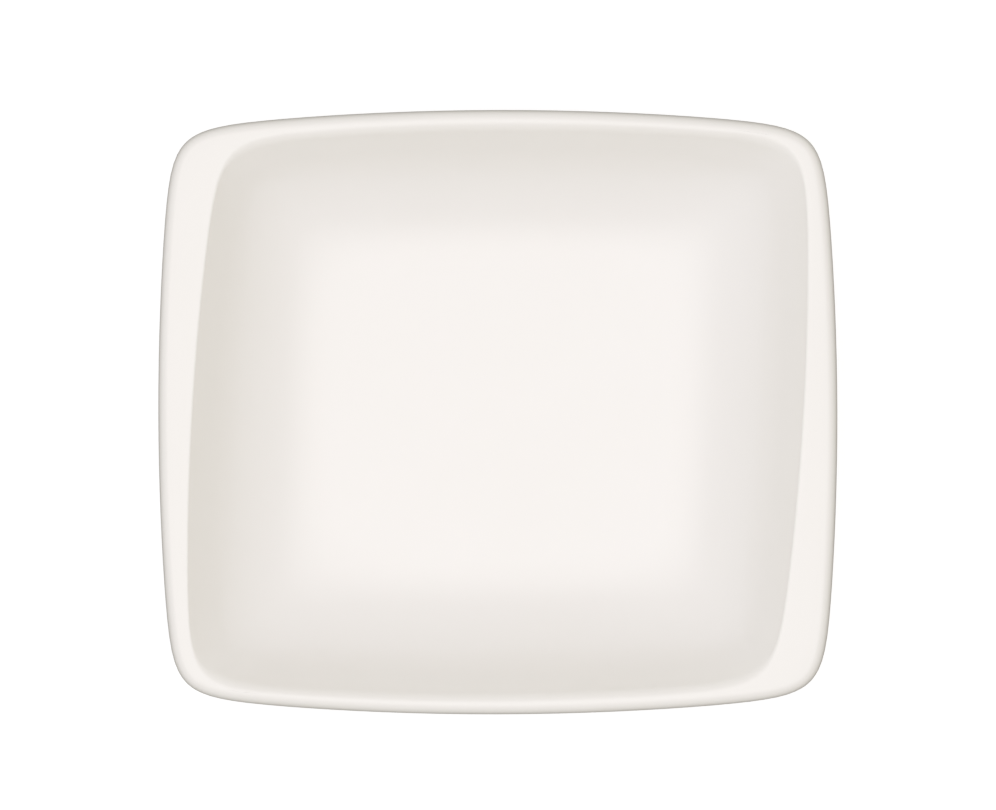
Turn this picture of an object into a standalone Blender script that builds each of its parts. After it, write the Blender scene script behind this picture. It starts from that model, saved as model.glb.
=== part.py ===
"""Deep plate of glazed porcelain: four bowed edges, two flat wings and a well set askew inside the rim.

One fired body carries two fields of glaze. The main field runs from the well over the rim and down the
outside. The other lies in the recess under the base. The bare foot ring keeps them apart.

Metres, +Z up. The origin is the middle of the plane that the foot ring stands on, and +X runs along the
plate's longer edges. Seen from above, the wings lie at the two ends of X.
"""

import math
from typing import NamedTuple

import bmesh
import bpy
import numpy as np

# Overall size, over the glaze
WIDTH = 0.200
DEPTH = 0.178
HEIGHT = 0.036

# Outline of the rim, as radii in plan. An eased corner is cut back as far as a round one of its radius.
LONG_EDGE_BOW = 0.810
SHORT_EDGE_BOW = 0.777
CORNER_RADIUS = 0.0135

# Rim: a round lip, flat wings that taper in opposite directions, and an eased crease over the well
LIP_RADIUS = 0.0030
WING_WIDE = 0.0106
WING_NARROW = 0.0022
CREST_FLAT = 0.0001
WING_CREASE_REACH = 0.0006
LONG_CREASE_REACH = 0.0021
LONG_CREASE_FALL = 0.0036

# Well: a straight slope under the crease, then one arc down to a flat floor that keeps a share of the skew
WALL_RUN = 0.0393
SLOPE_DROP = 0.0095
FLOOR_CORNER_RADIUS = 0.020
FLOOR_BOW = 0.450
FLOOR_SKEW_SHARE = 0.25

# Shell of the plate, over the glaze on both sides, and the cove that carries the rim
WALL = 0.0048
COVE_REACH = 0.007
LIP_UNDER_REACH = 0.0028

# Foot ring, with coved sides and a chamfered bearing face
FOOT_HEIGHT = 0.0035
FOOT_MARGIN = 0.0010
FOOT_FLARE = 0.0020
FOOT_WIDTH = 0.0052
FOOT_CHAMFER = 0.0005

# Glaze: its thickness, its clearance to the body and the bare band above the foot's chamfer
GLAZE = 0.0004
GLAZE_CLEARANCE = 0.0003
BARE_BAND = 0.0006

# Finish
GLAZE_COLOUR = (0.93, 0.90, 0.85, 1.0)
GLAZE_ROUGHNESS = 0.12
BODY_COLOUR = (0.86, 0.83, 0.77, 1.0)
BODY_ROUGHNESS = 0.6
SMOOTH_ANGLE = math.radians(40.0)

# Facets: an edge's are counted in plan, from corner to corner, the rest down the section
EDGE_STEPS = 20
ARC_STEPS = 6
CREASE_STEPS = 3
LIP_STEPS = 3
COVE_STEPS = 5
FOOT_STEPS = 3
FLAT_RING_SHARE = 0.5

COAT = GLAZE + GLAZE_CLEARANCE
FLOOR_TOP = FOOT_HEIGHT + WALL
WELL_DEPTH = HEIGHT - FLOOR_TOP
# The slope leans so that one arc under it runs out level on the floor
SLOPE_SPAN = math.sqrt(WALL_RUN**2 + SLOPE_DROP * (2 * WELL_DEPTH - SLOPE_DROP))
WALL_ANGLE = 2 * math.atan((SLOPE_SPAN - WALL_RUN) / SLOPE_DROP)
WALL_ARC = (WELL_DEPTH - SLOPE_DROP) / (1 - math.cos(WALL_ANGLE))
GLAZE_END_TURN = math.asin((FOOT_CHAMFER + BARE_BAND) / FOOT_HEIGHT)
QUARTER_TURN = math.pi / 2
ROUND_CORNER_CUT = math.sqrt(2) - 1
UP = np.array((0.0, 0.0, 1.0))


class Plan(NamedTuple):
    """A bowed rectangle with eased corners. Skew leans it along X, by this much for each metre of Y."""

    half_width: float
    half_depth: float
    corner: float
    long_bow: float
    short_bow: float
    skew: float


def inset(plan, distance):
    """The plan drawn in by a distance on every side."""
    return plan._replace(
        half_width=plan.half_width - distance,
        half_depth=plan.half_depth - distance,
        corner=plan.corner - distance,
    )


def between(start, end, share):
    """The plan that lies a share of the way from one plan to another."""
    return Plan(*(a + (b - a) * share for a, b in zip(start, end)))


def rim_plan():
    """Outermost line of the lip."""
    return Plan(WIDTH / 2, DEPTH / 2, CORNER_RADIUS, LONG_EDGE_BOW, SHORT_EDGE_BOW, 0.0)


def crease_plan():
    """Line where the rim's flat would meet the well's slope if the crease were sharp."""
    wing = (WING_WIDE + WING_NARROW) / 2
    half_width = WIDTH / 2 - LIP_RADIUS - wing - WING_CREASE_REACH
    half_depth = DEPTH / 2 - LIP_RADIUS - CREST_FLAT - LONG_CREASE_REACH
    skew = (WING_WIDE - WING_NARROW) / 2 / (half_depth - CORNER_RADIUS)
    return Plan(half_width, half_depth, CORNER_RADIUS, LONG_EDGE_BOW, SHORT_EDGE_BOW, skew)


def floor_plan():
    """Line where the well's arc runs out into its floor."""
    crease = crease_plan()
    half_width = crease.half_width - WALL_RUN
    half_depth = crease.half_depth - WALL_RUN
    skew = crease.skew * FLOOR_SKEW_SHARE
    return Plan(half_width, half_depth, FLOOR_CORNER_RADIUS, FLOOR_BOW, FLOOR_BOW, skew)


def foot_plan():
    """Outer side of the foot ring, over the glaze, at the plane it stands on."""
    return inset(floor_plan(), FOOT_MARGIN + FOOT_FLARE)


def foot_inner_plan():
    """Inner side of the foot ring, over the glaze, at the plane it stands on."""
    return inset(foot_plan(), FOOT_WIDTH)


def ray_directions():
    """Unit directions from the plate's middle, anticlockwise, that every loop is read along.

    They go to points on the sides of the plate's box that close up towards its corners.
    """
    half_edge = EDGE_STEPS // 2
    shares = [math.sin(QUARTER_TURN * step / half_edge) for step in range(half_edge + 1)]
    along_short = [math.atan2(DEPTH * share, WIDTH) for share in shares]
    along_long = [math.atan2(DEPTH, WIDTH * share) for share in shares]
    quarter = along_short + along_long[-2::-1]
    half = quarter + [math.pi - angle for angle in quarter[-2:0:-1]]
    angles = np.array(half + [math.pi + angle for angle in half])
    return np.column_stack((np.cos(angles), np.sin(angles)))


RAYS = ray_directions()


def reach_to_circle(directions, centre, radius):
    """How many times each direction goes into the way from the middle to the far side of a circle."""
    towards = directions @ np.array(centre)
    length = np.sum(directions**2, axis=1)
    inside = towards**2 - length * (centre[0]**2 + centre[1]**2 - radius**2)
    return (towards + np.sqrt(inside)) / length


def corner_power(plan):
    """How sharply the edges of a plan turn into each other, from how far its corners are cut back."""
    cut = ROUND_CORNER_CUT * plan.corner / math.hypot(plan.half_width, plan.half_depth)
    return math.log(2) / -math.log(1 - cut)


def loop_of(plan, z):
    """Points of a plan along every ray, at one height."""
    upright = np.abs(RAYS - np.outer(RAYS[:, 1], (plan.skew, 0.0)))
    to_short = reach_to_circle(upright, (plan.half_width - plan.short_bow, 0.0), plan.short_bow)
    to_long = reach_to_circle(upright, (0.0, plan.half_depth - plan.long_bow), plan.long_bow)
    power = corner_power(plan)
    reach = (to_short**-power + to_long**-power)**(-1 / power)
    return np.column_stack((RAYS * reach[:, None], np.full(len(RAYS), z)))


def unit(vectors):
    """The vectors at length one."""
    return vectors / np.linalg.norm(vectors, axis=-1, keepdims=True)


def along_loop(loops):
    """Direction in which each point's loop runs."""
    return np.roll(loops, -1, axis=-2) - np.roll(loops, 1, axis=-2)


def outward_of(loop):
    """Level directions out of a loop, square to it."""
    return unit(np.cross(along_loop(loop), UP))


def offset(loops, distance):
    """A skin moved along its normals, out of the material where the distance is positive."""
    skin = np.array(loops)
    normals = unit(np.cross(np.gradient(skin, axis=0), along_loop(skin)))
    return list(skin + normals * distance)


def drawn_in(loop):
    """The loop shrunk towards the middle, to divide a flat face."""
    return loop * np.array((FLAT_RING_SHARE, FLAT_RING_SHARE, 1.0))


def wall_loop(run, z):
    """Loop of the well's inside, at a distance in plan from the crease."""
    return loop_of(between(crease_plan(), floor_plan(), run / WALL_RUN), z)


def well_loops():
    """The well's inside, from its floor up to the foot of the straight slope."""
    loops = [drawn_in(wall_loop(WALL_RUN, FLOOR_TOP))]
    for step in range(ARC_STEPS + 1):
        turn = WALL_ANGLE * step / ARC_STEPS
        run = WALL_RUN - WALL_ARC * math.sin(turn)
        loops.append(wall_loop(run, FLOOR_TOP + WALL_ARC * (1 - math.cos(turn))))
    return loops


def crease_loops(slope, crest):
    """Eased edge from a loop of the slope up to the rim's flat, ending short of the lip's crest."""
    edge = loop_of(crease_plan(), HEIGHT)
    outward = outward_of(edge)
    room = np.sum((crest - edge) * outward, axis=1, keepdims=True) - CREST_FLAT
    facing = outward[:, 1:2]**2
    reach = WING_CREASE_REACH + (LONG_CREASE_REACH - WING_CREASE_REACH) * facing
    fall = WING_CREASE_REACH + (LONG_CREASE_FALL - WING_CREASE_REACH) * facing
    low = edge + unit(slope - edge) * fall
    high = edge + outward * np.minimum(reach, room)
    loops = []
    for step in range(CREASE_STEPS + 1):
        share = step / CREASE_STEPS
        loops.append((1 - share)**2 * low + 2 * share * (1 - share) * edge + share**2 * high)
    return loops


def lip_loops():
    """Upper half of the round lip, from its crest to the rim's outermost line."""
    edge = loop_of(rim_plan(), HEIGHT - LIP_RADIUS)
    outward = outward_of(edge)
    loops = []
    for step in range(LIP_STEPS + 1):
        turn = QUARTER_TURN * step / LIP_STEPS
        loops.append(edge + LIP_RADIUS * (math.cos(turn) * UP - (1 - math.sin(turn)) * outward))
    return loops


def cove_loops(lip, wall_top, wall_below):
    """Underside of the rim, from below the lip's outermost line to the top of the outer wall."""
    lip_handle = lip - LIP_UNDER_REACH * UP
    wall_handle = wall_top + unit(wall_top - wall_below) * COVE_REACH
    loops = []
    for step in range(1, COVE_STEPS + 1):
        share = step / COVE_STEPS
        rest = 1 - share
        loops.append(
            rest**3 * lip
            + 3 * rest**2 * share * lip_handle
            + 3 * rest * share**2 * wall_handle
            + share**3 * wall_top
        )
    return loops


def foot_side(plan, flare):
    """One side of the foot ring from the base down to the glaze's end. Flare is positive where it widens."""
    loops = []
    for step in range(FOOT_STEPS + 1):
        turn = QUARTER_TURN + (GLAZE_END_TURN - QUARTER_TURN) * step / FOOT_STEPS
        loops.append(loop_of(inset(plan, -flare * (1 - math.cos(turn))), FOOT_HEIGHT * math.sin(turn)))
    return loops


def main_skin():
    """Glazed surface from the middle of the well over the rim and down the outside to the foot ring."""
    well = well_loops()
    lip = lip_loops()
    face = well + crease_loops(well[-1], lip[0]) + lip
    outer_wall = offset(face, -WALL)[len(well) - 1:0:-1]
    cove = cove_loops(face[-1], outer_wall[0], outer_wall[1])
    return face + cove + outer_wall[1:] + foot_side(foot_plan(), FOOT_FLARE)


def recess_skin():
    """Glazed surface inside the foot ring, from the ring's inner side to the middle of the base."""
    side = foot_side(foot_inner_plan(), -FOOT_FLARE)[::-1]
    return side + [drawn_in(side[-1])]


def bare_foot_loops():
    """Unglazed tip of the foot ring, from its outer side to its inner side."""
    outer = inset(foot_plan(), COAT)
    inner = inset(foot_inner_plan(), -COAT)
    return [
        loop_of(outer, FOOT_CHAMFER),
        loop_of(inset(outer, FOOT_CHAMFER), 0.0),
        loop_of(inset(inner, -FOOT_CHAMFER), 0.0),
        loop_of(inner, FOOT_CHAMFER),
    ]


def make_material(name, colour, roughness):
    """Plain finish with a colour and a roughness."""
    material = bpy.data.materials.new(name)
    material.use_nodes = True
    shader = material.node_tree.nodes["Principled BSDF"]
    shader.inputs["Base Color"].default_value = colour
    shader.inputs["Roughness"].default_value = roughness
    shader.inputs["Metallic"].default_value = 0.0
    return material


def make_solid(name, loops, material, parent):
    """Close a run of loops into one body, with a fan over its first loop and over its last."""
    shape = bmesh.new()
    rings = [[shape.verts.new(point) for point in loop] for loop in loops]
    for ring, following in zip(rings, rings[1:]):
        for i in range(len(ring)):
            shape.faces.new((ring[i - 1], ring[i], following[i], following[i - 1]))
    for loop, ring in ((loops[0], rings[0]), (loops[-1], rings[-1])):
        middle = shape.verts.new(loop.mean(axis=0))
        for i in range(len(ring)):
            shape.faces.new((ring[i - 1], ring[i], middle))
    bmesh.ops.recalc_face_normals(shape, faces=shape.faces)
    mesh = bpy.data.meshes.new(name)
    shape.to_mesh(mesh)
    shape.free()
    mesh.shade_smooth()
    mesh.set_sharp_from_angle(angle=SMOOTH_ANGLE)
    mesh.materials.append(material)
    solid = bpy.data.objects.new(name, mesh)
    solid.parent = parent
    bpy.context.scene.collection.objects.link(solid)


def clear_scene():
    """Remove every object that the scene starts with."""
    for item in list(bpy.data.objects):
        bpy.data.objects.remove(item, do_unlink=True)


def main():
    """Build the plate."""
    clear_scene()
    plate = bpy.data.objects.new("deep_plate", None)
    bpy.context.scene.collection.objects.link(plate)
    glaze = make_material("ivory_glaze", GLAZE_COLOUR, GLAZE_ROUGHNESS)
    porcelain = make_material("bare_porcelain", BODY_COLOUR, BODY_ROUGHNESS)
    skin = main_skin()
    recess = recess_skin()
    body = offset(skin, -COAT) + bare_foot_loops() + offset(recess, -COAT)
    main_coat = skin + offset(skin, -GLAZE)[::-1]
    recess_coat = recess[::-1] + offset(recess, -GLAZE)
    make_solid("porcelain_body", body, porcelain, plate)
    make_solid("main_glaze", main_coat, glaze, plate)
    make_solid("recess_glaze", recess_coat, glaze, plate)


main()
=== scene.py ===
# Looks of the glazed porcelain deep plate. The fired body and its two coats of glaze are made again as fine,
# rounded surfaces from the plate's own measures. Metres, +Z up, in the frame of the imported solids.

import math
from typing import NamedTuple

import bmesh
import bpy
import numpy as np
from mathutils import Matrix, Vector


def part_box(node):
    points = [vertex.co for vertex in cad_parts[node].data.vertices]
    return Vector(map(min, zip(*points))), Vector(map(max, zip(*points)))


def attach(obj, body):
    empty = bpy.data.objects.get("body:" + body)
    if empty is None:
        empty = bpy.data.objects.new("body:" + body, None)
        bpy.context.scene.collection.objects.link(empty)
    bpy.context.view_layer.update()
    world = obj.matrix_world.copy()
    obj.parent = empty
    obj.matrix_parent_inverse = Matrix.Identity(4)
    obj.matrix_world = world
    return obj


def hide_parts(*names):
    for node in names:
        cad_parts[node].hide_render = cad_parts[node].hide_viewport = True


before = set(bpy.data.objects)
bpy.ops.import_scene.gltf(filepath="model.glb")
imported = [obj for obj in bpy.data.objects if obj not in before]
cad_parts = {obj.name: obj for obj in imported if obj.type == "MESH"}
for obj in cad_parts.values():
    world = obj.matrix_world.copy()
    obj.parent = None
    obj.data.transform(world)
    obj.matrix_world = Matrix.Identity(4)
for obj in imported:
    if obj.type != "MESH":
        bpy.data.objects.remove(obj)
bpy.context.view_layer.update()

# Overall size, from the main coat of glaze
HALF_WIDTH, HALF_DEPTH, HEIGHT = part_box("main_glaze")[1]

# Outline of the rim, as radii in plan. An eased corner is cut back as far as a round one of its radius.
LONG_EDGE_BOW = 0.810
SHORT_EDGE_BOW = 0.777
CORNER_RADIUS = 0.0135

# Rim: a round lip, flat wings that taper in opposite directions, and an eased crease over the well
LIP_RADIUS = 0.0030
WING_WIDE = 0.0106
WING_NARROW = 0.0022
CREST_FLAT = 0.0001
WING_CREASE_REACH = 0.0006
LONG_CREASE_REACH = 0.0021
LONG_CREASE_FALL = 0.0036

# Well: a straight slope under the crease, then one arc down to a flat floor that keeps a share of the skew
WALL_RUN = 0.0393
SLOPE_DROP = 0.0095
FLOOR_CORNER_RADIUS = 0.020
FLOOR_BOW = 0.450
FLOOR_SKEW_SHARE = 0.25

# Shell of the plate, over the glaze on both sides, and the cove that carries the rim
WALL = 0.0048
COVE_REACH = 0.007
LIP_UNDER_REACH = 0.0028

# Foot ring with coved sides, and its bare tip, rounded down to the bearing face
FOOT_HEIGHT = 0.0035
FOOT_MARGIN = 0.0010
FOOT_FLARE = 0.0020
FOOT_WIDTH = 0.0052
GLAZE_END = 0.0011
TIP_INSET = 0.0002
TIP_ROUND = 0.0010
TIP_HEIGHT = 0.00085

# Glaze: its thickness and its clearance to the body
GLAZE = 0.0004
GLAZE_CLEARANCE = 0.0003

# Facets: an edge's are counted in plan, from corner to corner, the rest down the section
EDGE_STEPS = 36
ARC_STEPS = 18
SLOPE_STEPS = 4
CREASE_STEPS = 7
FLAT_STEPS = 3
LIP_STEPS = 9
COVE_STEPS = 14
FOOT_STEPS = 8
BEAD_STEPS = 6
TIP_STEPS = 6
FLAT_RING_SHARES = (0.12, 0.3, 0.5, 0.7, 0.87)
SMOOTH_ANGLE = math.radians(40.0)

# Glaze that runs off steep edges and gathers in hollows: the share that a bend of one metre's radius moves
# The grey this gives steep rounded edges, darkest where they face sideways, is partly thin glaze and partly
# painted shade
POOLING_AND_EDGE_SHADE = "pooling_and_edge_shade"
POOL_REACH = 0.0015
EVEN_POOL = 0.5

# Ivory glaze. It shines fully where it lies evenly, and not at all where it is thinner than the dull pool.
# The grey and the lost shine of thin glaze darken the lip's outer edge and the crease: painted shade, in
# part
GLAZE_IOR = 1.5
SHINE_RANGE = (0.0, 0.5)
DULL_POOL = 0.38
# Grey of thin glaze: partly real thinning, partly painted shade along the lip's outer edge and the crease
THIN_GLAZE_AND_EDGE_SHADE = (0.450, 0.433, 0.408, 1.0)
EVEN_GLAZE = (0.895, 0.876, 0.859, 1.0)
DEEP_GLAZE = (0.870, 0.842, 0.805, 1.0)
DRIFT_TINT = (0.985, 0.982, 0.976, 1.0)
DRIFT_SCALE = 22.0
DRIFT_DETAIL = 3.0
GLOSS_SCALE = 60.0
GLOSS_RANGE = (0.10, 0.17)
RIPPLE_SCALE = 190.0
RIPPLE_DETAIL = 0.0
RIPPLE_HEIGHT = 0.00002
RIPPLE_STRENGTH = 0.2

# Bare porcelain at the foot
PALE_BISQUE = (0.84, 0.81, 0.75, 1.0)
GREY_BISQUE = (0.74, 0.71, 0.655, 1.0)
SCUFF_SCALE = 140.0
GRAIN_SCALE = 2600.0
GRAIN_DETAIL = 4.0
BISQUE_ROUGHNESS = (0.55, 0.78)
GRAIN_HEIGHT = 0.00004
GRAIN_STRENGTH = 0.5

# Stage: a pale floor that shows white with the plate's soft shadow, a soft light overhead with a bright
# middle, and a surround that dims towards the horizon
FLOOR_RADIUS = 4.0
FLOOR_SIDES = 96
FLOOR_GAP = 0.0001
FLOOR_GLOW = 0.80
FLOOR_SEEN = (0.34, 0.34, 0.34, 1.0)
FLOOR_BOUNCE = (0.42, 0.42, 0.42, 1.0)
WHITE = (1.0, 1.0, 1.0, 1.0)
SOFTBOX_SIZE = 1.7
SOFTBOX_PLACE = (-0.03, -0.055, 1.05)
SOFTBOX_POWER = 11.0
SOFTBOX_FALL = (1.0, 0.0)
SURROUND_LEFT = (1.178, 1.268, 1.080, 1.0)
SURROUND_RIGHT = (0.960, 0.998, 0.743, 1.0)
SURROUND_LOW = (0.250, 0.245, 0.076, 1.0)
SURROUND_HIGH = (0.792, 0.724, 0.931, 1.0)
SURROUND_POWER = 0.5

# Camera straight above, with a long lens. The image's width is measured at the rim.
IMAGE_WIDTH = 0.2931
IMAGE_CENTRE = (0.00005, 0.00211)
CAMERA_DISTANCE = 3.0
CAMERA_ROLL = math.radians(-0.13)
SENSOR_WIDTH = 36.0

COAT = GLAZE + GLAZE_CLEARANCE
FLOOR_TOP = FOOT_HEIGHT + WALL
WELL_DEPTH = HEIGHT - FLOOR_TOP
# The slope leans so that one arc under it runs out level on the floor
SLOPE_SPAN = math.sqrt(WALL_RUN**2 + SLOPE_DROP * (2 * WELL_DEPTH - SLOPE_DROP))
WALL_ANGLE = 2 * math.atan((SLOPE_SPAN - WALL_RUN) / SLOPE_DROP)
WALL_ARC = (WELL_DEPTH - SLOPE_DROP) / (1 - math.cos(WALL_ANGLE))
GLAZE_END_TURN = math.asin(GLAZE_END / FOOT_HEIGHT)
QUARTER_TURN = math.pi / 2
ROUND_CORNER_CUT = math.sqrt(2) - 1
UP = np.array((0.0, 0.0, 1.0))
LIGHT_MIDDLE = (0.5, 0.5, 0.0)
FULL_SPAN = (0.0, 1.0)
LEFT_TO_RIGHT = (-1.0, 1.0)


class Plan(NamedTuple):
    """A bowed rectangle with eased corners. Skew leans it along X, by this much for each metre of Y."""

    half_width: float
    half_depth: float
    corner: float
    long_bow: float
    short_bow: float
    skew: float


def inset(plan, distance):
    """The plan drawn in by a distance on every side."""
    return plan._replace(
        half_width=plan.half_width - distance,
        half_depth=plan.half_depth - distance,
        corner=plan.corner - distance,
    )


def between(start, end, share):
    """The plan that lies a share of the way from one plan to another."""
    return Plan(*(a + (b - a) * share for a, b in zip(start, end)))


def rim_plan():
    """Outermost line of the lip."""
    return Plan(HALF_WIDTH, HALF_DEPTH, CORNER_RADIUS, LONG_EDGE_BOW, SHORT_EDGE_BOW, 0.0)


def crease_plan():
    """Line where the rim's flat would meet the well's slope if the crease were sharp."""
    wing = (WING_WIDE + WING_NARROW) / 2
    half_width = HALF_WIDTH - LIP_RADIUS - wing - WING_CREASE_REACH
    half_depth = HALF_DEPTH - LIP_RADIUS - CREST_FLAT - LONG_CREASE_REACH
    skew = (WING_WIDE - WING_NARROW) / 2 / (half_depth - CORNER_RADIUS)
    return Plan(half_width, half_depth, CORNER_RADIUS, LONG_EDGE_BOW, SHORT_EDGE_BOW, skew)


def floor_plan():
    """Line where the well's arc runs out into its floor."""
    crease = crease_plan()
    half_width = crease.half_width - WALL_RUN
    half_depth = crease.half_depth - WALL_RUN
    skew = crease.skew * FLOOR_SKEW_SHARE
    return Plan(half_width, half_depth, FLOOR_CORNER_RADIUS, FLOOR_BOW, FLOOR_BOW, skew)


def foot_plan():
    """Outer side of the foot ring, over the glaze, at the plane it stands on."""
    return inset(floor_plan(), FOOT_MARGIN + FOOT_FLARE)


def foot_inner_plan():
    """Inner side of the foot ring, over the glaze, at the plane it stands on."""
    return inset(foot_plan(), FOOT_WIDTH)


def ray_directions():
    """Unit directions from the plate's middle, anticlockwise, that every loop is read along.

    They go to points on the sides of the plate's box that close up towards its corners.
    """
    half_edge = EDGE_STEPS // 2
    shares = [math.sin(QUARTER_TURN * step / half_edge) for step in range(half_edge + 1)]
    along_short = [math.atan2(HALF_DEPTH * share, HALF_WIDTH) for share in shares]
    along_long = [math.atan2(HALF_DEPTH, HALF_WIDTH * share) for share in shares]
    quarter = along_short + along_long[-2::-1]
    half = quarter + [math.pi - angle for angle in quarter[-2:0:-1]]
    angles = np.array(half + [math.pi + angle for angle in half])
    return np.column_stack((np.cos(angles), np.sin(angles)))


RAYS = ray_directions()


def reach_to_circle(directions, centre, radius):
    """How many times each direction goes into the way from the middle to the far side of a circle."""
    towards = directions @ np.array(centre)
    length = np.sum(directions**2, axis=1)
    inside = towards**2 - length * (centre[0]**2 + centre[1]**2 - radius**2)
    return (towards + np.sqrt(inside)) / length


def corner_power(plan):
    """How sharply the edges of a plan turn into each other, from how far its corners are cut back."""
    cut = ROUND_CORNER_CUT * plan.corner / math.hypot(plan.half_width, plan.half_depth)
    return math.log(2) / -math.log(1 - cut)


def loop_of(plan, z):
    """Points of a plan along every ray, at one height."""
    upright = np.abs(RAYS - np.outer(RAYS[:, 1], (plan.skew, 0.0)))
    to_short = reach_to_circle(upright, (plan.half_width - plan.short_bow, 0.0), plan.short_bow)
    to_long = reach_to_circle(upright, (0.0, plan.half_depth - plan.long_bow), plan.long_bow)
    power = corner_power(plan)
    reach = (to_short**-power + to_long**-power)**(-1 / power)
    return np.column_stack((RAYS * reach[:, None], np.full(len(RAYS), z)))


def unit(vectors):
    """The vectors at length one."""
    return vectors / np.linalg.norm(vectors, axis=-1, keepdims=True)


def along_loop(loops):
    """Direction in which each point's loop runs."""
    return np.roll(loops, -1, axis=-2) - np.roll(loops, 1, axis=-2)


def outward_of(loop):
    """Level directions out of a loop, square to it."""
    return unit(np.cross(along_loop(loop), UP))


def normals_of(skin):
    """Directions out of the material, for loops that run from the middle of the face round to the back."""
    return unit(np.cross(np.gradient(skin, axis=0), along_loop(skin)))


def offset(loops, distance):
    """A skin moved along its normals, out of the material where the distance is positive."""
    skin = np.array(loops)
    return list(skin + normals_of(skin) * distance)


def pooling_and_edge_shade_of(loops):
    """How thick the glaze lies at each point of a skin, from 0 on steep edges to 1 in tight hollows; the low
    values at steep rounded edges also carry painted shade.
    """
    skin = np.array(loops)
    normals = normals_of(skin)[1:-1]
    steps = np.diff(skin, axis=0)
    lengths = np.linalg.norm(steps, axis=-1)
    bends = np.diff(unit(steps), axis=0)
    hollow = np.sum(bends * normals, axis=-1) / ((lengths[1:] + lengths[:-1]) / 2)
    pooled = np.clip(POOL_REACH * hollow, -EVEN_POOL, EVEN_POOL)
    steepness = 1 - np.abs(normals[..., 2])
    # Steep rounded edges fall towards 0, most where they face sideways: partly thin glaze, partly painted
    # shade
    pools_and_edge_shade = EVEN_POOL + np.where(pooled < 0, pooled * steepness**2, pooled)
    return np.pad(pools_and_edge_shade, ((1, 1), (0, 0)), mode="edge")


def flat_rings(edge):
    """Loops that divide the flat face inside an edge, from the middle outward."""
    return [edge * np.array((share, share, 1.0)) for share in FLAT_RING_SHARES]


def loops_between(start, end, steps):
    """Loops that divide the way from one loop to another, without those two."""
    return [start + (end - start) * step / steps for step in range(1, steps)]


def wall_loop(run, z):
    """Loop of the well's inside, at a distance in plan from the crease."""
    return loop_of(between(crease_plan(), floor_plan(), run / WALL_RUN), z)


def well_loops():
    """The well's inside, from its floor up to the foot of the straight slope."""
    loops = flat_rings(wall_loop(WALL_RUN, FLOOR_TOP))
    for step in range(ARC_STEPS + 1):
        turn = WALL_ANGLE * step / ARC_STEPS
        run = WALL_RUN - WALL_ARC * math.sin(turn)
        loops.append(wall_loop(run, FLOOR_TOP + WALL_ARC * (1 - math.cos(turn))))
    return loops


def crease_loops(slope, crest):
    """Eased edge from a loop of the slope up to the rim's flat, ending short of the lip's crest."""
    edge = loop_of(crease_plan(), HEIGHT)
    outward = outward_of(edge)
    room = np.sum((crest - edge) * outward, axis=1, keepdims=True) - CREST_FLAT
    facing = outward[:, 1:2]**2
    reach = WING_CREASE_REACH + (LONG_CREASE_REACH - WING_CREASE_REACH) * facing
    fall = WING_CREASE_REACH + (LONG_CREASE_FALL - WING_CREASE_REACH) * facing
    low = edge + unit(slope - edge) * fall
    high = edge + outward * np.minimum(reach, room)
    loops = []
    for step in range(CREASE_STEPS + 1):
        share = step / CREASE_STEPS
        loops.append((1 - share)**2 * low + 2 * share * (1 - share) * edge + share**2 * high)
    return loops


def lip_loops():
    """Upper half of the round lip, from its crest to the rim's outermost line."""
    edge = loop_of(rim_plan(), HEIGHT - LIP_RADIUS)
    outward = outward_of(edge)
    loops = []
    for step in range(LIP_STEPS + 1):
        turn = QUARTER_TURN * step / LIP_STEPS
        loops.append(edge + LIP_RADIUS * (math.cos(turn) * UP - (1 - math.sin(turn)) * outward))
    return loops


def cove_loops(lip, wall_top, wall_below):
    """Underside of the rim, from below the lip's outermost line to the top of the outer wall."""
    lip_handle = lip - LIP_UNDER_REACH * UP
    wall_handle = wall_top + unit(wall_top - wall_below) * COVE_REACH
    loops = []
    for step in range(1, COVE_STEPS + 1):
        share = step / COVE_STEPS
        rest = 1 - share
        loops.append(
            rest**3 * lip
            + 3 * rest**2 * share * lip_handle
            + 3 * rest * share**2 * wall_handle
            + share**3 * wall_top
        )
    return loops


def foot_side(plan, flare):
    """One side of the foot ring from the base down to the glaze's end. Flare is positive where it widens."""
    loops = []
    for step in range(FOOT_STEPS + 1):
        turn = QUARTER_TURN + (GLAZE_END_TURN - QUARTER_TURN) * step / FOOT_STEPS
        loops.append(loop_of(inset(plan, -flare * (1 - math.cos(turn))), FOOT_HEIGHT * math.sin(turn)))
    return loops


def main_skin():
    """Glazed surface from the middle of the well over the rim and down the outside to the foot ring."""
    well = well_loops()
    lip = lip_loops()
    crease = crease_loops(well[-1], lip[0])
    slope = loops_between(well[-1], crease[0], SLOPE_STEPS)
    flat = loops_between(crease[-1], lip[0], FLAT_STEPS)
    face = well + slope + crease + flat + lip
    outer_wall = offset(face, -WALL)[len(well) - 1:len(FLAT_RING_SHARES) - 1:-1]
    cove = cove_loops(face[-1], outer_wall[0], outer_wall[1])
    return face + cove + outer_wall[1:] + foot_side(foot_plan(), FOOT_FLARE)


def recess_skin():
    """Glazed surface inside the foot ring, from the ring's inner side to the middle of the base."""
    side = foot_side(foot_inner_plan(), -FOOT_FLARE)[::-1]
    return side + flat_rings(side[-1])[::-1]


def bead_loops(outer, inner, ahead):
    """Rounded end of a coat, from its outer surface to its inner one. Ahead is the way that it bulges."""
    middle = (outer + inner) / 2
    half = (outer - inner) / 2
    bulge = unit(ahead) * np.linalg.norm(half, axis=-1, keepdims=True)
    turns = [math.pi * step / BEAD_STEPS for step in range(1, BEAD_STEPS)]
    return [middle + half * math.cos(turn) + bulge * math.sin(turn) for turn in turns]


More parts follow.
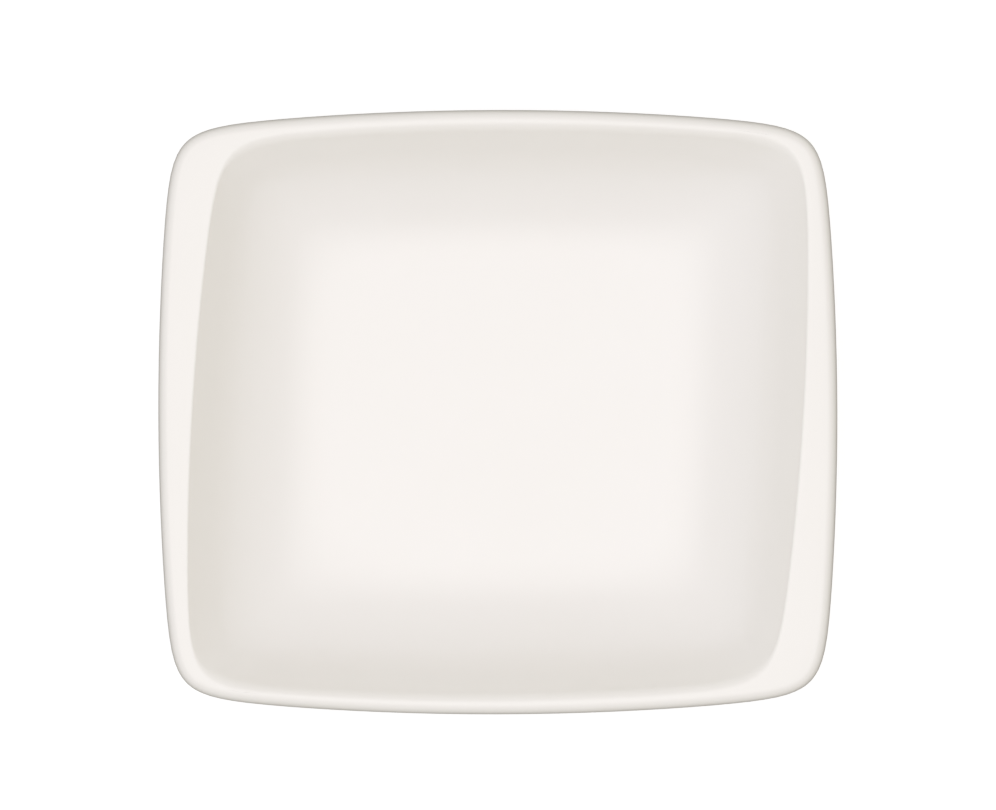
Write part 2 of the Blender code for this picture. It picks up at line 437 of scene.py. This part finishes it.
def tip_side(plan, inward):
    """One side of the bare tip, rounded from under the glaze's end down to the bearing face."""
    loops = []
    for step in range(TIP_STEPS + 1):
        turn = QUARTER_TURN * step / TIP_STEPS
        drawn = TIP_INSET + TIP_ROUND * (1 - math.cos(turn))
        loops.append(loop_of(inset(plan, inward * drawn), TIP_HEIGHT * (1 - math.sin(turn))))
    return loops


def tip_loops():
    """Unglazed tip of the foot ring, from its outer side to its inner side."""
    return tip_side(foot_plan(), 1) + tip_side(foot_inner_plan(), -1)[::-1]


def make_piece(name, loops, pools_and_edge_shade, material):
    """Close a run of loops into one smooth body, with a fan over its first loop and over its last."""
    shape = bmesh.new()
    layer = shape.verts.layers.float.new(POOLING_AND_EDGE_SHADE)
    rings = [[shape.verts.new(point) for point in loop] for loop in loops]
    for ring, ring_pools_and_edge_shade in zip(rings, pools_and_edge_shade):
        for vert, pool_and_edge_shade in zip(ring, ring_pools_and_edge_shade):
            vert[layer] = pool_and_edge_shade
    for ring, following in zip(rings, rings[1:]):
        for i in range(len(ring)):
            shape.faces.new((ring[i - 1], ring[i], following[i], following[i - 1]))
    for loop, ring in ((loops[0], rings[0]), (loops[-1], rings[-1])):
        middle = shape.verts.new(loop.mean(axis=0))
        middle[layer] = EVEN_POOL
        for i in range(len(ring)):
            shape.faces.new((ring[i - 1], ring[i], middle))
    bmesh.ops.recalc_face_normals(shape, faces=shape.faces)
    mesh = bpy.data.meshes.new(name)
    shape.to_mesh(mesh)
    shape.free()
    mesh.shade_smooth()
    mesh.set_sharp_from_angle(angle=SMOOTH_ANGLE)
    mesh.materials.append(material)
    piece = bpy.data.objects.new(name, mesh)
    bpy.context.scene.collection.objects.link(piece)
    return piece


def even_pools(loops):
    """Pooling of loops that are covered, or carry no glaze."""
    return np.full((len(loops), len(RAYS)), EVEN_POOL)


def make_body(material):
    """The fired body, of which only the foot's tip shows."""
    loops = offset(main_skin(), -COAT) + tip_loops() + offset(recess_skin(), -COAT)
    return make_piece("fired_body", loops, even_pools(loops), material)


def make_main_coat(material):
    """The coat from the well over the rim and down the outside, with a rounded end at the foot."""
    skin = main_skin()
    under = offset(skin, -GLAZE)
    hidden = bead_loops(skin[-1], under[-1], skin[-1] - skin[-2]) + under[::-1]
    pools_and_edge_shade = np.concatenate((pooling_and_edge_shade_of(skin), even_pools(hidden)))
    return make_piece("main_coat", skin + hidden, pools_and_edge_shade, material)


def make_recess_coat(material):
    """The coat under the base, inside the foot ring, with a rounded end at the foot."""
    skin = recess_skin()
    under = offset(skin, -GLAZE)
    hidden = bead_loops(skin[0], under[0], skin[0] - skin[1]) + under
    pools_and_edge_shade = np.concatenate((pooling_and_edge_shade_of(skin)[::-1], even_pools(hidden)))
    return make_piece("recess_coat", skin[::-1] + hidden, pools_and_edge_shade, material)


def new_material(name):
    """A material, with its node tree and its shader."""
    material = bpy.data.materials.new(name)
    material.use_nodes = True
    return material, material.node_tree, material.node_tree.nodes["Principled BSDF"]


def noise(tree, scale, detail):
    """Noise in the plate's own space, from 0 to 1."""
    place = tree.nodes.new("ShaderNodeTexCoord")
    node = tree.nodes.new("ShaderNodeTexNoise")
    node.inputs["Scale"].default_value = scale
    node.inputs["Detail"].default_value = detail
    tree.links.new(place.outputs["Object"], node.inputs["Vector"])
    return node.outputs["Fac"]


def mixed(tree, share, first, second):
    """A colour that goes from the first to the second with the share."""
    node = tree.nodes.new("ShaderNodeMix")
    node.data_type = "RGBA"
    node.inputs["A"].default_value = first
    node.inputs["B"].default_value = second
    tree.links.new(share, node.inputs["Factor"])
    return node.outputs["Result"]


def multiplied(tree, first, second):
    """The product of two colours."""
    node = tree.nodes.new("ShaderNodeMix")
    node.data_type = "RGBA"
    node.blend_type = "MULTIPLY"
    node.inputs["Factor"].default_value = 1.0
    tree.links.new(first, node.inputs["A"])
    tree.links.new(second, node.inputs["B"])
    return node.outputs["Result"]


def ranged(tree, value, limits, span=FULL_SPAN):
    """A value that runs over a span, spread over limits."""
    node = tree.nodes.new("ShaderNodeMapRange")
    for name, bound in zip(("From Min", "From Max", "To Min", "To Max"), (*span, *limits)):
        node.inputs[name].default_value = bound
    tree.links.new(value, node.inputs["Value"])
    return node.outputs["Result"]


def bumped(tree, height, distance, strength):
    """A normal that follows a height of at most the distance."""
    node = tree.nodes.new("ShaderNodeBump")
    node.inputs["Distance"].default_value = distance
    node.inputs["Strength"].default_value = strength
    tree.links.new(height, node.inputs["Height"])
    return node.outputs["Normal"]


def glaze_material():
    """Ivory glaze with a faint drift of tone and gloss and a soft ripple, grey and dull where it is thin,
    which is partly painted shade on steep edges.
    """
    material, tree, shader = new_material("ivory_glaze")
    pools_and_edge_shade = tree.nodes.new("ShaderNodeAttribute")
    pools_and_edge_shade.attribute_name = POOLING_AND_EDGE_SHADE
    tone = tree.nodes.new("ShaderNodeValToRGB")
    stops = tone.color_ramp.elements
    # Grey on steep rounded edges: partly thin glaze, partly painted shade
    stops[0].color = THIN_GLAZE_AND_EDGE_SHADE
    stops[1].color = DEEP_GLAZE
    stops.new(EVEN_POOL).color = EVEN_GLAZE
    tree.links.new(pools_and_edge_shade.outputs["Fac"], tone.inputs["Fac"])
    drift = mixed(tree, noise(tree, DRIFT_SCALE, DRIFT_DETAIL), WHITE, DRIFT_TINT)
    gloss = ranged(tree, noise(tree, GLOSS_SCALE, DRIFT_DETAIL), GLOSS_RANGE)
    shine = ranged(tree, pools_and_edge_shade.outputs["Fac"], SHINE_RANGE, (DULL_POOL, EVEN_POOL))
    ripple = bumped(tree, noise(tree, RIPPLE_SCALE, RIPPLE_DETAIL), RIPPLE_HEIGHT, RIPPLE_STRENGTH)
    tree.links.new(multiplied(tree, tone.outputs["Color"], drift), shader.inputs["Base Color"])
    tree.links.new(gloss, shader.inputs["Roughness"])
    tree.links.new(shine, shader.inputs["Specular IOR Level"])
    tree.links.new(ripple, shader.inputs["Normal"])
    shader.inputs["IOR"].default_value = GLAZE_IOR
    return material


def bisque_material():
    """Bare fired porcelain: matt and fine-grained, a little grey where the foot has slid."""
    material, tree, shader = new_material("bare_porcelain")
    scuffs = noise(tree, SCUFF_SCALE, GRAIN_DETAIL)
    grain = noise(tree, GRAIN_SCALE, GRAIN_DETAIL)
    tree.links.new(mixed(tree, scuffs, PALE_BISQUE, GREY_BISQUE), shader.inputs["Base Color"])
    tree.links.new(ranged(tree, grain, BISQUE_ROUGHNESS), shader.inputs["Roughness"])
    tree.links.new(bumped(tree, grain, GRAIN_HEIGHT, GRAIN_STRENGTH), shader.inputs["Normal"])
    return material


def make_plate():
    """Build the three pieces and set them in the place of the solids."""
    glaze = glaze_material()
    body = make_body(bisque_material())
    main_coat = make_main_coat(glaze)
    recess_coat = make_recess_coat(glaze)
    for piece, node, slot in (
        (body, "porcelain_body", "bare_porcelain"),
        (main_coat, "main_glaze", "ivory_glaze"),
        (recess_coat, "recess_glaze", "ivory_glaze"),
    ):
        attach(piece, "root")
        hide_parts(node)


def background_share(tree):
    """1 for the rays that show the background, and 0 for those that light the plate."""
    path = tree.nodes.new("ShaderNodeLightPath")
    share = path.outputs["Is Camera Ray"]
    for kind in ("Is Glossy Ray", "Is Transmission Ray"):
        total = tree.nodes.new("ShaderNodeMath")
        total.operation = "MAXIMUM"
        tree.links.new(share, total.inputs[0])
        tree.links.new(path.outputs[kind], total.inputs[1])
        share = total.outputs["Value"]
    return share


def mixed_shader(tree, share, first, second):
    """A shader that goes from the first to the second with the share."""
    node = tree.nodes.new("ShaderNodeMixShader")
    tree.links.new(share, node.inputs["Fac"])
    tree.links.new(first, node.inputs[1])
    tree.links.new(second, node.inputs[2])
    return node.outputs["Shader"]


def diffuse(tree, colour):
    """A plain matt shader."""
    node = tree.nodes.new("ShaderNodeBsdfDiffuse")
    node.inputs["Color"].default_value = colour
    return node.outputs["BSDF"]


def floor_material():
    """Pale floor that shows white, keeps the plate's shadow, and is open to a look from below."""
    material = bpy.data.materials.new("pale_floor")
    material.use_nodes = True
    tree = material.node_tree
    tree.nodes.clear()
    glow = tree.nodes.new("ShaderNodeEmission")
    glow.inputs["Strength"].default_value = FLOOR_GLOW
    seen = tree.nodes.new("ShaderNodeAddShader")
    tree.links.new(glow.outputs["Emission"], seen.inputs[0])
    tree.links.new(diffuse(tree, FLOOR_SEEN), seen.inputs[1])
    upper = mixed_shader(tree, background_share(tree), diffuse(tree, FLOOR_BOUNCE), seen.outputs["Shader"])
    side = tree.nodes.new("ShaderNodeNewGeometry")
    lower = tree.nodes.new("ShaderNodeBsdfTransparent")
    whole = mixed_shader(tree, side.outputs["Backfacing"], upper, lower.outputs["BSDF"])
    output = tree.nodes.new("ShaderNodeOutputMaterial")
    tree.links.new(whole, output.inputs["Surface"])
    return material


def make_floor():
    """A wide round floor under the foot ring."""
    shape = bmesh.new()
    bmesh.ops.create_circle(shape, cap_ends=True, segments=FLOOR_SIDES, radius=FLOOR_RADIUS)
    mesh = bpy.data.meshes.new("floor")
    shape.to_mesh(mesh)
    shape.free()
    mesh.materials.append(floor_material())
    floor = bpy.data.objects.new("floor", mesh)
    floor.location.z = -FLOOR_GAP
    bpy.context.scene.collection.objects.link(floor)


def make_surround():
    """White behind the plate, and to light it a surround, brighter on the left and yellower on the right."""
    world = bpy.data.worlds.new("surround")
    world.use_nodes = True
    tree = world.node_tree
    tree.nodes.clear()
    way = tree.nodes.new("ShaderNodeTexCoord")
    axes = tree.nodes.new("ShaderNodeSeparateXYZ")
    tree.links.new(way.outputs["Generated"], axes.inputs["Vector"])
    rightward = ranged(tree, axes.outputs["X"], FULL_SPAN, LEFT_TO_RIGHT)
    tint = mixed(tree, rightward, SURROUND_LEFT, SURROUND_RIGHT)
    rise = tree.nodes.new("ShaderNodeMath")
    rise.operation = "POWER"
    rise.inputs[1].default_value = SURROUND_POWER
    tree.links.new(axes.outputs["Z"], rise.inputs[0])
    level = mixed(tree, rise.outputs["Value"], SURROUND_LOW, SURROUND_HIGH)
    dim = tree.nodes.new("ShaderNodeBackground")
    tree.links.new(multiplied(tree, tint, level), dim.inputs["Color"])
    white = tree.nodes.new("ShaderNodeBackground")
    white.inputs["Color"].default_value = WHITE
    both = mixed_shader(
        tree, background_share(tree), dim.outputs["Background"], white.outputs["Background"]
    )
    output = tree.nodes.new("ShaderNodeOutputWorld")
    tree.links.new(both, output.inputs["Surface"])
    bpy.context.scene.world = world


def make_softbox():
    """One soft round light over the plate, a little to the left and front, that fades out to its edge."""
    light = bpy.data.lights.new("softbox", "AREA")
    light.shape = "DISK"
    light.size = SOFTBOX_SIZE
    light.energy = SOFTBOX_POWER
    light.use_nodes = True
    tree = light.node_tree
    place = tree.nodes.new("ShaderNodeNewGeometry")
    offside = tree.nodes.new("ShaderNodeVectorMath")
    offside.operation = "DISTANCE"
    offside.inputs[1].default_value = LIGHT_MIDDLE
    tree.links.new(place.outputs["Parametric"], offside.inputs[0])
    level = ranged(tree, offside.outputs["Value"], SOFTBOX_FALL, (0.0, LIGHT_MIDDLE[0]))
    level.node.interpolation_type = "SMOOTHSTEP"
    tree.links.new(level, tree.nodes["Emission"].inputs["Strength"])
    softbox = bpy.data.objects.new("softbox", light)
    softbox.location = SOFTBOX_PLACE
    softbox.visible_camera = False
    bpy.context.scene.collection.objects.link(softbox)


def make_camera():
    """Camera straight above the plate, with the top of the image towards +Y."""
    lens = bpy.data.cameras.new("camera")
    lens.sensor_width = SENSOR_WIDTH
    lens.lens = SENSOR_WIDTH * CAMERA_DISTANCE / IMAGE_WIDTH
    camera = bpy.data.objects.new("camera", lens)
    camera.location = (*IMAGE_CENTRE, HEIGHT + CAMERA_DISTANCE)
    camera.rotation_euler.z = CAMERA_ROLL
    bpy.context.scene.collection.objects.link(camera)
    bpy.context.scene.camera = camera


make_plate()
make_floor()
make_surround()
make_softbox()
make_camera()
bpy.context.scene.view_settings.view_transform = "Standard"
